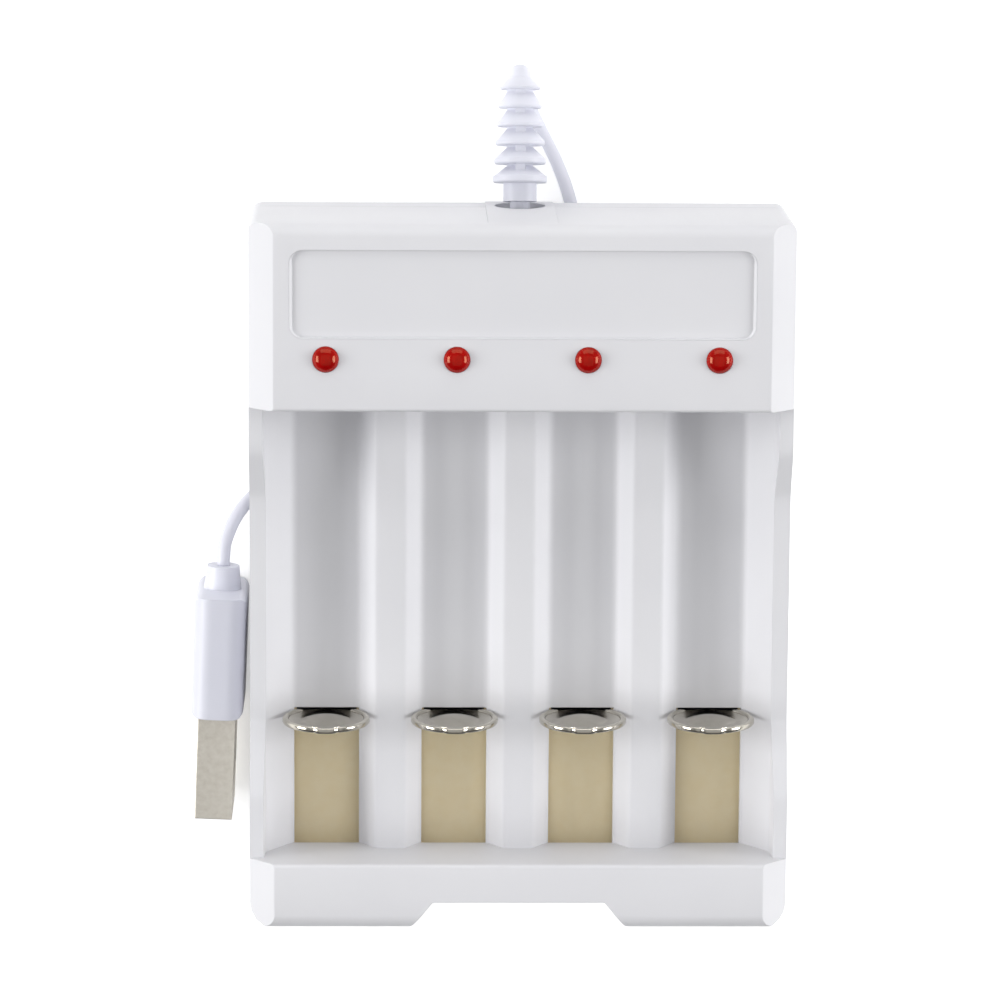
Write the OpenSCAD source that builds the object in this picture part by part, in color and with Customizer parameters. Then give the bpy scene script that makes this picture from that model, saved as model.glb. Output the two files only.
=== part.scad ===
// Four-bay AA battery charger with a short fixed lead, lying on its back on a table.
// +Z is up, out of the bays. +Y points to the end with the strain relief. Millimetres.
// The origin is on the table, under the middle of the housing.

/* [Housing] */
// Length of the housing, end to end
body_l = 84.4; // [80:0.2:100]
// Depth of the housing, front face to rear face
body_d = 24; // [23:0.5:30]
// Wall of both shells
wall = 1.8; // [1.4:0.1:2.2]
// Bevel along the long front edges
front_bevel = 3; // [1.5:0.1:3.6]
// Bevel round the rear edges
rear_bevel = 3; // [1:0.1:4]
// Round of the cap's far end edge
cap_round = 1.4; // [0.6:0.1:2]
// Round of the ledge's near end edge
ledge_round = 1.8; // [0.6:0.1:2]
// Length of the cap over the lamps
cap_l = 22; // [20:0.1:28]
// Length of the ledge at the near end
ledge_l = 8; // [7.6:0.1:10]
// Height of the joint between the shells above the rear face
joint_h = 7; // [6:0.1:8]
// Width of the notch between the two end feet, at its inner edge
notch_w = 20.4; // [14:0.1:22]
// Depth of that notch
notch_depth = 3.35; // [3.1:0.05:3.8]

/* [Bays] */
// Distance from bay to bay
bay_pitch = 15.3; // [15:0.1:17]
// From the middle of an outer bay to the side of the housing
side_margin = 9.05; // [8.8:0.05:11]
// Depth of the bay floor below the front face
bay_depth = 10.5; // [10.2:0.1:11]
// Width of the flat bay floor
bay_floor_w = 8.1; // [7.9:0.1:9]
// Flat top of a rib between two bays
rib_w = 3.6; // [2:0.1:4.4]
// Height of a rib above the bay floor
rib_h = 2.75; // [1.5:0.05:3.2]
// Thickness of the bay floor
bay_floor_t = 1.2; // [1:0.1:1.6]
// Depth of the side walls below the front face, in the middle of the scoop
rim_low = 6; // [4:0.1:7]
// Depth of the side walls below the front face, at the ends of the scoop
rim_high = 3.2; // [3:0.1:3.9]
// Top of the side wall, measured across at the middle of the scoop
rim_w = 1.9; // [1.6:0.1:2.4]

/* [Contacts] */
// Diameter of the sliding contact's dish
contact_d = 10.4; // [9:0.1:10.6]
// Thickness of the contact metal
contact_t = 0.45; // [0.3:0.05:0.5]
// Backward lean of the dish, in degrees
contact_lean = 2; // [0:0.5:6]
// Height of the dish's middle above the bay floor
contact_up = 3.8; // [3.4:0.1:4.2]
// From the ledge to the back of the dish, at rest
contact_rest = 15.8; // [15.6:0.1:17]
// Travel of the dish from rest to the longest cell
contact_travel = 14.2; // [8:0.1:14.4]
// Width of the slot that the dish's neck travels in
slot_w = 7.8; // [7.6:0.1:7.9]
// Outside diameter of a return spring
spring_d = 2.4; // [2:0.1:2.6]
// Wire of a return spring
spring_wire = 0.32; // [0.25:0.01:0.4]

/* [Indicator lamps] */
// Diameter of a lamp
lamp_d = 3; // [2.5:0.1:3.5]
// From the cap's step to the row of lamps
lamp_setback = 6.2; // [5.4:0.1:7]
// Height of a lamp's top above the front face
lamp_proud = 0.9; // [0.5:0.1:1.2]

/* [Label recess] */
// Width of the recess across the cap
label_w = 54.4; // [40:0.1:55]
// Length of the recess along the cap
label_l = 10.4; // [8:0.1:10.6]
// Depth of the recess
label_depth = 0.4; // [0.2:0.05:0.6]
// Corner round of the recess
label_round = 1.6; // [0.5:0.1:3]

/* [Feet and screws] */
// Height of the feet under the rear face
foot_h = 3; // [2.6:0.1:4]
// Diameter of a foot
foot_d = 8; // [6:0.1:9]
// From the middle of a foot to the side of the housing
foot_inset_x = 9; // [8.5:0.1:11]
// From the middle of a foot to the end of the housing
foot_inset_y = 13; // [12.6:0.1:15]
// Screw thread diameter
screw_d = 2.2; // [2:0.1:2.4]
// Screw head diameter
screw_head_d = 4.2; // [3.6:0.1:4.4]

/* [Lead and plug] */
// Diameter of the cord
cord_d = 1.6; // [1.4:0.1:1.8]
// From the housing to the last skirt of the strain relief
relief_l = 14.2; // [13.8:0.1:14.6]
// Diameter of the strain relief's column at the housing
relief_d = 4; // [3.8:0.1:4.6]
// Diameter of the widest skirt, next to the housing
skirt_base_d = 6.5; // [6:0.1:6.8]
// Diameter of the narrowest skirt, next to the tip
skirt_tip_d = 5; // [4.4:0.1:5.4]
// Droop of the strain relief, in degrees
relief_droop = 10; // [8:0.5:11]
// Turn of the plug away from the housing, in degrees
plug_turn = 2.2; // [0:0.1:4]
// Thickness of the plug's moulding
plug_w = 6.3; // [5.6:0.1:6.8]
// Length of the plug's moulding
plug_l = 14.8; // [12:0.1:18]
// Breadth of the plug's moulding, standing on its edge
plug_h = 15; // [14:0.1:15.6]
// Length of the plug's bare metal shell
shell_l = 12.6; // [11:0.1:13]

/* [Hidden] */
$fn = 48;
bays = 4;

// Clearances: between moulded pieces, round sliding metal, and where a cut passes right through
fit = 0.1;
slide_fit = 0.3;
past = 1;

// Overall places
body_w = (bays - 1) * bay_pitch + 2 * side_margin;
side = body_w / 2;
end_y = body_l / 2;
z_rear = foot_h;
z_front = foot_h + body_d;
z_joint = z_rear + joint_h;
y_cap = end_y - cap_l;
y_ledge = -end_y + ledge_l;
z_floor = z_front - bay_depth;
z_rib = z_floor + rib_h;
z_under = z_floor - bay_floor_t;
z_rim_low = z_front - rim_low;
z_rim_high = z_front - rim_high;
slope_w = (bay_pitch - bay_floor_w - rib_w) / 2;
seam_round = 0.3;
edge_round = 0.5;
corner_round = 1.2;
near_corner_round = 2.6;
notch_round = 1;
notch_slope = 2.7;

// Ramps at the two ends of the scooped side walls
scoop_cap_end = 5.4;
scoop_cap_ramp = 5.6;
scoop_ledge_end = 7.4;
scoop_ledge_ramp = 8.6;
scoop_round = 4;

// Circuit board
board_t = 1.6;
board_slot_w = 3.2;
board_hold_w = 1.6;
slide_gap = contact_t + 2 * slide_fit;
z_board = z_under - slide_gap;
board_gap = 0.4;
finger_l = 0.6;
finger_edge = 0.5;
board_y0 = y_ledge + board_gap / 2;
cavity_y0 = board_y0 - board_gap;
board_side = side - wall - board_gap;

// Sliding contacts
contact_y = y_ledge + contact_rest;
contact_z = z_floor + contact_up;
neck_w = slot_w - 2 * slide_fit;
dome_d = 6.3;
dome_h = 0.7;
bead_w = 0.5;
bead_h = 0.2;
slot_y1 = contact_y + (contact_z - z_under) * tan(contact_lean) + contact_t + slide_fit;
tongue_spare = 4.4;
tongue_edge = 0.5;
tongue_l = contact_travel + tongue_spare;
tongue_w = neck_w + 2 * tongue_edge;
z_tongue = z_board + slide_fit;
tab_y = contact_y + tongue_l;
tab_w = 2.2;
spring_hold = 1;
spring_drop = 0.5;
spring_y0 = tab_y + contact_t + fit;
spring_y1 = y_cap + spring_hold;
spring_z = z_board - board_t / 2 - spring_drop;
spring_turns = 15;

// Fixed contacts, set back in the wall under the cap
fixed_w = 5;
fixed_t = 0.5;
fixed_recess = 0.5;
fixed_low = 2.3;
fixed_top_gap = 0.95;
fixed_tail_w = 2.4;
fixed_tail_up = 0.4;
fixed_leg_gap = 0.9;
cell_r = 7.25;
fixed_z = z_floor + cell_r;
fixed_z0 = fixed_z - fixed_low;
fixed_z1 = z_front - fixed_top_gap;
fixed_y = y_cap + fixed_recess;
fixed_tail_z = fixed_z + fixed_tail_up;
fixed_leg_y = y_cap + wall + fixed_leg_gap;

// Lamps
lamp_y = y_cap + lamp_setback;
lamp_fit = 0.05;
lamp_flange = 0.9;
lamp_flange_t = 1;
lamp_lead = 0.5;
lamp_lead_gap = 1.27;
z_ceiling = z_front - wall;

// Label recess, between the lamps and the far end
label_inset = 8.2;
label_y = end_y - label_inset;

// Screws: two in bosses at the cap's corners, two in the ledge
boss_wall = 1.5;
boss_d = screw_d + 2 * boss_wall;
screw_inset = wall + board_hold_w + boss_d / 2 + board_gap;
screw_from_notch = 4.2;
screw_end_gap = 5.6;
screw_x_cap = side - screw_inset;
screw_y_cap = end_y - screw_inset;
screw_x_ledge = notch_w / 2 + notch_slope + screw_from_notch;
screw_y_ledge = -end_y + screw_end_gap;
board_y1 = screw_y_cap - boss_d / 2 - board_gap;
screws = [
  [screw_x_cap, screw_y_cap], [-screw_x_cap, screw_y_cap],
  [screw_x_ledge, screw_y_ledge], [-screw_x_ledge, screw_y_ledge]
];
cover_post_d = boss_d + 1.4;
head_fit = 0.2;
screw_tip_gap = 1;
head_depth = 2.4;
head_t = 1.5;
screw_l = 8;
feet = [for (sx = [-1, 1]) for (sy = [-1, 1]) [sx * (side - foot_inset_x), sy * (end_y - foot_inset_y)]];
foot_seat = 0.5;
post_d = 5;

// Strain relief: skirts on a straight stem, then a bent tip that lets the cord down to the table
gland_clear = 1;
anchor_edge = 0.7;
root_step = 0.8;
gland_d = relief_d + 2 * gland_clear;
pad_w = 8.2;
pad_t = 0.15;
pad_slope = 1;
relief_groove = 0.6;
skirts = 6;
skirt_first = 2.85;
skirt_edge = 0.1;
skirt_base_edge = 0.6;
skirt_lip = 0.15;
skirt_pitch = (relief_l - skirt_first - skirt_lip - skirt_edge) / (skirts - 1);
skirt_gap = 0.2;
neck_d = 3.1;
tip_d = 2.7;
tip_taper = 1.2;
tip_bend = 60;
tip_bend_r = 1.9;
web_w = 1.2;
anchor_d = gland_d + 2 * anchor_edge;
anchor_t = 1.6;
anchor_y = end_y - wall - fit;
root_d = relief_d - 2 * root_step;
tip_drop = tip_bend_r * (1 - cos(tip_bend));
tip_reach = relief_l + tip_bend_r * sin(tip_bend);
relief_tip = [
  0,
  end_y + tip_reach * cos(relief_droop) - tip_drop * sin(relief_droop),
  z_joint - tip_reach * sin(relief_droop) - tip_drop * cos(relief_droop)
];

// Plug, standing on its edge beside the housing, placed by the point where the cord goes in
plug_gap = 0.4;
plug_entry_y = -1.9;
plug_entry = [-side - plug_gap - plug_w / 2, plug_entry_y, plug_h / 2];
plug_axis = [sin(plug_turn), cos(plug_turn), 0];
collar_l = 2.8;
collar_d0 = 4.6;
collar_d1 = 3.9;
moulding_y0 = -collar_l - plug_l;
shell_y0 = moulding_y0 - shell_l;
shell_w = 12;
shell_t = 4.5;
shell_wall = 0.3;
tongue_t = 1.84;

// Route of the cord: down from the strain relief's tip, under the housing and up to the plug's collar
cord_ring_sides = 8;
cord_z = cord_d / 2;
cord_straight = 1.3;
function from_tip(x, dy, z) = [x, relief_tip[1] + dy, z];
cord_points = [
  relief_tip,
  from_tip(0, 0.2, 5.3),
  from_tip(0.1, 0.2, 4.2),
  from_tip(0.2, -0.1, 3.2),
  from_tip(0.3, -0.7, 2.3),
  from_tip(0.5, -1.5, 1.5),
  from_tip(0.8, -2.5, 1),
  from_tip(1.2, -3.9, cord_z),
  from_tip(1.9, -5.6, cord_z),
  from_tip(3, -7.8, cord_z),
  [4.7, 46.4, cord_z],
  [6.1, 42.6, cord_z],
  [7, 38.6, cord_z],
  [6.9, 34.8, cord_z],
  [5.6, 31.6, cord_z],
  [3, 28.8, cord_z],
  [-1, 26, cord_z],
  [-6, 22.8, cord_z],
  [-12, 18.8, cord_z],
  [-19, 14.4, cord_z],
  [-25, 10.5, cord_z],
  plug_entry + [7.4, 10.5, 1 - plug_h / 2],
  plug_entry + [5.3, 9.1, 1.7 - plug_h / 2],
  plug_entry + [3.7, 7.9, 3 - plug_h / 2],
  plug_entry + [2.4, 6.7, -3.1],
  plug_entry + [1.4, 5.4, -1.9],
  plug_entry + [0.7, 4, -0.9],
  plug_entry + [0.2, 2.6, -0.2],
  plug_entry + cord_straight * plug_axis,
  plug_entry
];

// Colours
white_abs = "#DCDCE0";
white_pvc = "#E6E7F0";
lamp_red = "#B0101A";
nickel = "#C8C4B8";
board_tan = "#C8BE9C";
spring_steel = "#B9BBBD";
rubber_grey = "#55565A";
chip_black = "#222226";
gold = "#D8B45A";

function bay_x(i) = (i - (bays + 1) / 2) * bay_pitch;
function unit(v) = v / norm(v);

// Points that round the corner at b, between a and c, with radius r
function arc_corner(a, b, c, r, steps = 4) =
  let (
    u = unit(a - b),
    v = unit(c - b),
    half = acos(u * v) / 2,
    centre = b + unit(u + v) * r / sin(half),
    from = b + u * r / tan(half) - centre,
    to = b + v * r / tan(half) - centre,
    turn = 180 - 2 * half,
    way = from[0] * to[1] - from[1] * to[0] > 0 ? 1 : -1
  )
  [for (k = [0:steps])
    let (t = way * turn * k / steps)
    centre + [from[0] * cos(t) - from[1] * sin(t), from[0] * sin(t) + from[1] * cos(t)]];

// An outline whose points are [x, y, round]
function rounded(points) =
  let (n = len(points))
  [for (i = [0:n - 1])
    let (p = points[i], a = points[(i + n - 1) % n], c = points[(i + 1) % n])
    each p[2] > 0
      ? arc_corner([a[0], a[1]], [p[0], p[1]], [c[0], c[1]], p[2])
      : [[p[0], p[1]]]];

// An outline given for x > 0, from bottom to top, and its mirror image
function both_sides(points) =
  concat(points, [for (i = [len(points) - 1:-1:0]) [-points[i][0], points[i][1], points[i][2]]]);

// A profile drawn in X and Z, carried along Y
module along_y(y0, y1) {
  translate([0, y1, 0])
    rotate([90, 0, 0])
      linear_extrude(y1 - y0)
        children();
}

// A profile drawn in Y and Z, carried along X
module along_x(x0, x1) {
  translate([x0, 0, 0])
    rotate([90, 0, 90])
      linear_extrude(x1 - x0)
        children();
}

module box(low, high) {
  translate(low)
    cube(high - low);
}

module rod_y(d, y0, y1) {
  translate([0, y0, 0])
    rotate([-90, 0, 0])
      cylinder(d = d, h = y1 - y0);
}

module rod_z(d, z0, z1) {
  translate([0, 0, z0])
    cylinder(d = d, h = z1 - z0);
}

module rounded_square(w, l, r) {
  square([w - 2 * r, l], center = true);
  square([w, l - 2 * r], center = true);
  for (sx = [-1, 1])
    for (sy = [-1, 1])
      translate([sx * (w / 2 - r), sy * (l / 2 - r)])
        circle(r);
}

// The housing seen from above, with the notch between its two end feet
module housing_outline() {
  half_notch = notch_w / 2;
  polygon(rounded([
    [side, end_y, corner_round],
    [-side, end_y, corner_round],
    [-side, -end_y, near_corner_round],
    [-half_notch - notch_slope, -end_y, notch_round],
    [-half_notch, -end_y + notch_depth, edge_round],
    [half_notch, -end_y + notch_depth, edge_round],
    [half_notch + notch_slope, -end_y, notch_round],
    [side, -end_y, near_corner_round]
  ]));
}

// The front shell from the side: ledge, scooped side wall and cap
module front_side_profile() {
  polygon(rounded([
    [-end_y, z_joint, seam_round],
    [-end_y, z_front, ledge_round],
    [y_ledge, z_front, edge_round],
    [y_ledge, z_rim_high, 0],
    [y_ledge + scoop_ledge_end, z_rim_high, scoop_round],
    [y_ledge + scoop_ledge_end + scoop_ledge_ramp, z_rim_low, scoop_round],
    [y_cap - scoop_cap_end - scoop_cap_ramp, z_rim_low, scoop_round],
    [y_cap - scoop_cap_end, z_rim_high, scoop_round],
    [y_cap, z_rim_high, 0],
    [y_cap, z_front, edge_round],
    [end_y, z_front, cap_round],
    [end_y, z_joint, seam_round]
  ]));
}

// The front shell from the end
module front_end_profile() {
  polygon(rounded(both_sides([
    [side, z_joint, seam_round],
    [side, z_front - front_bevel, edge_round],
    [side - front_bevel, z_front, edge_round]
  ])));
}

// The space of all four bays from the end, open at the top
module bays_profile() {
  rim_x = side - rim_w;
  rim_draft = 0.7;
  floor_round = 1.2;
  rib_round = 0.8;
  outer = bay_x(bays);
  right_half = [
    for (i = [bays / 2 + 1:bays])
      each concat(
        [[bay_x(i) - bay_floor_w / 2 - slope_w, z_rib, rib_round]],
        [[bay_x(i) - bay_floor_w / 2, z_floor, floor_round]],
        [[bay_x(i) + bay_floor_w / 2, z_floor, floor_round]],
        i < bays ? [[bay_x(i) + bay_floor_w / 2 + slope_w, z_rib, rib_round]] : []
      ),
    [rim_x, z_rim_low, edge_round],
    [rim_x + rim_draft, z_front + past, 0]
  ];
  polygon(rounded(concat(
    right_half,
    [for (i = [len(right_half) - 1:-1:0]) [-right_half[i][0], right_half[i][1], right_half[i][2]]]
  )));
}

// The hollow of the cap from the end
module cap_hollow_profile() {
  inset = wall * tan(22.5);
  polygon([
    [side - wall, z_under - past],
    [side - wall, z_front - front_bevel - inset],
    [side - front_bevel - inset, z_ceiling],
    [-side + front_bevel + inset, z_ceiling],
    [-side + wall, z_front - front_bevel - inset],
    [-side + wall, z_under - past]
  ]);
}

// Raised pad on the end wall round the strain relief, whose top may slope in
module gland_pad(z0, z1, slope = 0) {
  along_x(-pad_w / 2, pad_w / 2)
    polygon([
      [end_y - wall, z0],
      [end_y + pad_t, z0],
      [end_y + pad_t, z1 - slope],
      [end_y - (slope > 0 ? pad_t : 0), z1],
      [end_y - wall, z1]
    ]);
}

module gland_bore() {
  translate([0, 0, z_joint])
    rod_y(gland_d, end_y - wall - past, end_y + pad_t + past);
}

module front_shell_hollows() {
  // Under the bays, with a step at each side that the board lies against
  box([-side + wall, cavity_y0, z_joint - past], [side - wall, end_y - wall, z_board]);
  box(
    [-side + wall + board_hold_w, cavity_y0, z_board - fit],
    [side - wall - board_hold_w, end_y - wall, z_under]
  );
  // In the cap
  along_y(y_cap + wall, end_y - wall)
    cap_hollow_profile();
  // In the ledge, outside its two screws
  for (s = [-1, 1])
    pocket_in_ledge(s);
}

module pocket_in_ledge(s) {
  least = 1;
  x0 = screw_x_ledge + boss_d / 2 + least;
  x1 = side - front_bevel - wall / 3;
  y0 = -end_y + wall;
  y1 = y_ledge - wall;
  z1 = z_front - wall;
  if (x1 > x0 + least)
    box([s > 0 ? x0 : -x1, y0, z_joint - past], [s > 0 ? x1 : -x0, y1, z1]);
}

module front_shell() {
  color(white_abs)
    difference() {
      union() {
        difference() {
          union() {
            intersection() {
              along_y(-end_y - past, end_y + past)
                front_end_profile();
              along_x(-side - past, side + past)
                front_side_profile();
              translate([0, 0, z_joint - past])
                linear_extrude(body_d)
                  housing_outline();
            }
            gland_pad(z_joint, z_front - cap_round, pad_slope);
          }
          along_y(y_ledge, y_cap)
            bays_profile();
          front_shell_hollows();
        }
        // Bosses for the two screws under the cap
        for (s = [-1, 1])
          translate([s * screw_x_cap, screw_y_cap, 0])
            rod_z(boss_d, z_joint, z_ceiling + wall / 2);
      }
      gland_bore();
      translate([0, label_y, z_front - label_depth])
        linear_extrude(label_depth + past)
          rounded_square(label_w, label_l, label_round);
      for (p = screws)
        translate([p[0], p[1], 0])
          rod_z(screw_d, z_joint - past, z_rear + head_depth + screw_l + screw_tip_gap);
      for (i = [1:bays])
        translate([bay_x(i), 0, 0])
          bay_cuts();
    }
}

// Cuts that every bay has: lamp hole, contact slot, pocket for the board's finger, and the recess of the
// fixed contact with the way through for its tail
module bay_cuts() {
  translate([0, lamp_y, 0])
    rod_z(lamp_d + 2 * lamp_fit, z_ceiling - past, z_front + past);
  box([-slot_w / 2, y_ledge, z_under - past], [slot_w / 2, slot_y1, z_floor + past]);
  box([-slot_w / 2, y_ledge - finger_l - fit, z_under - past], [slot_w / 2, y_ledge + past, z_floor]);
  box(
    [-slot_w / 2 - finger_edge - fit, y_ledge - finger_l - fit, z_joint - past],
    [slot_w / 2 + finger_edge + fit, y_ledge, z_under]
  );
  box(
    [-fixed_w / 2 - fit, y_cap - past, fixed_z0 - fit],
    [fixed_w / 2 + fit, fixed_y + fixed_t, fixed_z1 + fit]
  );
  box(
    [-fixed_tail_w / 2 - fit, y_cap - past, fixed_tail_z - fixed_t / 2 - fit],
    [fixed_tail_w / 2 + fit, y_cap + wall + past, fixed_tail_z + fixed_t / 2 + fit]
  );
}

// The rear cover's outside, or with a wall d its hollow, which stops short of the notch
module rear_solid(d) {
  cut = rear_bevel - d * tan(22.5);
  near = -end_y + (d > 0 ? notch_depth + d : 0);
  far = end_y - d;
  low = z_rear + d;
  top = z_joint + (d > 0 ? past : 0);
  top_round = d > 0 ? 0 : seam_round;
  intersection() {
    along_y(-end_y - past, end_y + past)
      polygon(rounded(both_sides([
        [side - d - cut, low, 0],
        [side - d, low + cut, 0],
        [side - d, top, top_round]
      ])));
    along_x(-side - past, side + past)
      polygon(rounded([
        [near, top, top_round],
        [near, low + cut, 0],
        [near + cut, low, 0],
        [far - cut, low, 0],
        [far, low + cut, 0],
        [far, top, top_round]
      ]));
    if (d == 0)
      translate([0, 0, z_rear - past])
        linear_extrude(joint_h + 2 * past)
          housing_outline();
  }
}

module rear_cover() {
  color(white_abs)
    difference() {
      union() {
        difference() {
          rear_solid(0);
          rear_solid(wall);
        }
        gland_pad(z_rear + rear_bevel, z_joint);
        // Posts that hold the board from below
        for (p = feet)
          translate([p[0], p[1], 0])
            rod_z(post_d, z_rear + wall / 2, z_board - board_t);
        intersection() {
          rear_solid(0);
          for (p = screws)
            translate([p[0], p[1], 0])
              rod_z(cover_post_d, z_rear - past, z_joint + past);
        }
      }
      gland_bore();
      // Seat of the strain relief's anchor
      translate([0, 0, z_joint])
        rod_y(anchor_d + 2 * fit, anchor_y - anchor_t - fit, anchor_y + fit);
      for (p = screws)
        translate([p[0], p[1], 0]) {
          rod_z(screw_d + 2 * head_fit, z_rear - past, z_joint + past);
          rod_z(screw_head_d + 2 * head_fit, z_rear - past, z_rear + head_depth);
        }
      for (p = feet)
        translate([p[0], p[1], 0])
          rod_z(foot_d + fit, z_rear - past, z_rear + foot_seat);
    }
}

// The board, with a slot for each return spring and a finger under the ledge at the end of each bay
module circuit_board() {
  color(board_tan)
    difference() {
      union() {
        box([-board_side, board_y0, z_board - board_t], [board_side, board_y1, z_board]);
        for (i = [1:bays])
          translate([bay_x(i), 0, 0])
            box(
              [-slot_w / 2 - finger_edge, y_ledge - finger_l, z_board - board_t],
              [slot_w / 2 + finger_edge, board_y0 + past, z_board]
            );
      }
      for (i = [1:bays])
        translate([bay_x(i), 0, 0])
          box(
            [-board_slot_w / 2, tab_y - contact_travel - board_gap, z_board - board_t - past],
            [board_slot_w / 2, spring_y1, z_board + past]
          );
    }
}

module charge_controller() {
  chip = [5, 4, 1.5];
  color(chip_black)
    translate([-chip[0] / 2, board_y1 - chip[1] - 1.5, z_board])
      cube(chip);
}

// Two insulated wires from the strain relief to the underside of the board
module supply_wires() {
  wire_d = 0.9;
  wire_gap = 1.3;
  wire_drop = 1.6;
  wire_z = z_joint - wire_drop;
  turn_y = board_y1 - 2;
  color(white_pvc)
    for (s = [-1, 1])
      translate([s * wire_gap / 2, 0, 0]) {
        translate([0, 0, wire_z])
          rod_y(wire_d, turn_y, anchor_y - anchor_t);
        translate([0, turn_y, 0])
          rod_z(wire_d, wire_z, z_board - board_t);
        translate([0, turn_y, wire_z])
          sphere(d = wire_d);
      }
}

module lamp(i) {
  color(lamp_red)
    translate([bay_x(i), lamp_y, 0]) {
      rod_z(lamp_d + lamp_flange, z_ceiling - lamp_flange_t, z_ceiling);
      rod_z(lamp_d, z_ceiling - lamp_flange_t, z_front + lamp_proud - lamp_d / 2);
      translate([0, 0, z_front + lamp_proud - lamp_d / 2])
        sphere(d = lamp_d);
    }
}

module lamp_leads() {
  color(nickel)
    for (i = [1:bays])
      for (s = [-1, 1])
        translate([bay_x(i) + s * lamp_lead_gap, lamp_y, 0])
          box(
            [-lamp_lead / 2, -lamp_lead / 2, z_board],
            [lamp_lead / 2, lamp_lead / 2, z_ceiling - lamp_flange_t]
          );
}

// Fixed contact: a plate with a raised button, and a tail through the wall down to the board
module fixed_contact(i) {
  button_d = 3.2;
  button_h = 0.4;
  color(nickel)
    translate([bay_x(i), 0, 0]) {
      box([-fixed_w / 2, fixed_y, fixed_z0], [fixed_w / 2, fixed_y + fixed_t, fixed_z1]);
      translate([0, fixed_y, fixed_z])
        rotate([90, 0, 0])
          cylinder(d1 = button_d, d2 = button_d - 1, h = button_h);
      box(
        [-fixed_tail_w / 2, fixed_y, fixed_tail_z - fixed_t / 2],
        [fixed_tail_w / 2, fixed_leg_y + fixed_t, fixed_tail_z + fixed_t / 2]
      );
      box(
        [-fixed_tail_w / 2, fixed_leg_y, z_board],
        [fixed_tail_w / 2, fixed_leg_y + fixed_t, fixed_tail_z + fixed_t / 2]
      );
    }
}

// Section of the dish: a low dome, a flat ring and a raised bead at the rim
module dish_section() {
  dome_r = dome_d / 2;
  rim_r = contact_d / 2;
  steps = 6;
  dome = [for (k = [0:steps]) [dome_r * k / steps, dome_h * (1 - pow(k / steps, 2))]];
  polygon(concat(
    [for (p = dome) [p[0], p[1] + contact_t]],
    [
      [rim_r - bead_w - bead_h, contact_t],
      [rim_r - bead_w, contact_t + bead_h],
      [rim_r - bead_h, contact_t + bead_h],
      [rim_r, contact_t],
      [rim_r, 0]
    ],
    [for (k = [steps:-1:0]) dome[k]]
  ));
}

// Sliding contact: dish and neck lean back together, and a flat tongue runs under the bay floor.
// The dish's bead stops short of the slot, and a small tab stands on its upper edge.
module sliding_contact(i) {
  neck_drop = (contact_z - z_tongue) / cos(contact_lean);
  foot_y = contact_y + (contact_z - z_tongue) * tan(contact_lean);
  bead_end = contact_up - slide_fit;
  edge_tab_w = 2.6;
  edge_tab_h = 0.3;
  edge_y = -contact_d / 2;
  color(nickel)
    translate([bay_x(i), 0, 0]) {
      difference() {
        translate([0, contact_y, contact_z])
          rotate([contact_lean - 90, 0, 0]) {
            difference() {
              rotate_extrude()
                dish_section();
              box([-contact_d, bead_end, contact_t], [contact_d, contact_d, contact_d]);
            }
            box([-neck_w / 2, dome_d / 2, 0], [neck_w / 2, neck_drop, contact_t]);
            box([-edge_tab_w / 2, edge_y - edge_tab_h, 0], [edge_tab_w / 2, edge_y + bead_w, contact_t]);
          }
        box(
          [-contact_d, contact_y - contact_d, z_tongue - contact_d],
          [contact_d, contact_y + contact_d, z_tongue]
        );
      }
      box([-tongue_w / 2, foot_y, z_tongue], [tongue_w / 2, tab_y + contact_t, z_tongue + contact_t]);
      box([-tab_w / 2, tab_y, spring_z - spring_d / 2], [tab_w / 2, tab_y + contact_t, z_tongue + contact_t]);
    }
}

// Points on a ring of radius r round p, square to the direction d
function ring(p, d, r, sides) =
  let (
    ahead = unit(d),
    across = unit(cross(ahead, abs(ahead[2]) > 0.9 ? [1, 0, 0] : [0, 0, 1])),
    up = cross(across, ahead)
  )
  [for (k = [0:sides - 1]) p + r * (cos(360 * k / sides) * across + sin(360 * k / sides) * up)];

// A round tube through a list of points
module tube(points, r, sides) {
  n = len(points);
  rings = [
    for (i = [0:n - 1])
      ring(points[i], points[min(i + 1, n - 1)] - points[max(i - 1, 0)], r, sides)
  ];
  walls = [
    for (i = [0:n - 2])
      for (k = [0:sides - 1])
        let (a = i * sides + k, b = i * sides + (k + 1) % sides)
        each [[a, b, b + sides], [a, b + sides, a + sides]]
  ];
  near_end = [for (k = [sides - 1:-1:0]) k];
  far_end = [for (k = [0:sides - 1]) (n - 1) * sides + k];
  polyhedron([for (r = rings) each r], concat(walls, [near_end, far_end]));
}

module return_spring(i) {
  steps = 12;
  coil_r = (spring_d - spring_wire) / 2;
  y0 = spring_y0 + spring_wire / 2;
  y1 = spring_y1 - spring_wire / 2 - fit;
  wire_sides = 5;
  last = spring_turns * steps;
  coil = [
    for (k = [0:last])
      let (t = 360 * k / steps)
      [coil_r * cos(t), y0 + (y1 - y0) * k / last, coil_r * sin(t)]
  ];
  color(spring_steel)
    translate([bay_x(i), 0, spring_z])
      tube(coil, spring_wire / 2, wire_sides);
}

module cover_screws() {
  color(spring_steel)
    for (p = screws)
      translate([p[0], p[1], z_rear + head_depth]) {
        difference() {
          rod_z(screw_head_d, -head_t, 0);
          for (turn = [0, 90])
            rotate([0, 0, turn])
              box([-screw_head_d / 3, -0.3, -head_t - past], [screw_head_d / 3, 0.3, -head_t * 0.4]);
        }
        rod_z(screw_d - 2 * fit, -head_t / 2, screw_l);
      }
}

module foot(i) {
  foot_round = 0.6;
  color(rubber_grey)
    translate([feet[i - 1][0], feet[i - 1][1], 0])
      rotate_extrude()
        polygon(rounded([
          [0, 0, 0],
          [foot_d / 2 - 0.4, 0, foot_round],
          [foot_d / 2, z_rear, 0],
          [foot_d / 2, z_rear + foot_seat, 0],
          [0, z_rear + foot_seat, 0]
        ]));
}

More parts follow.
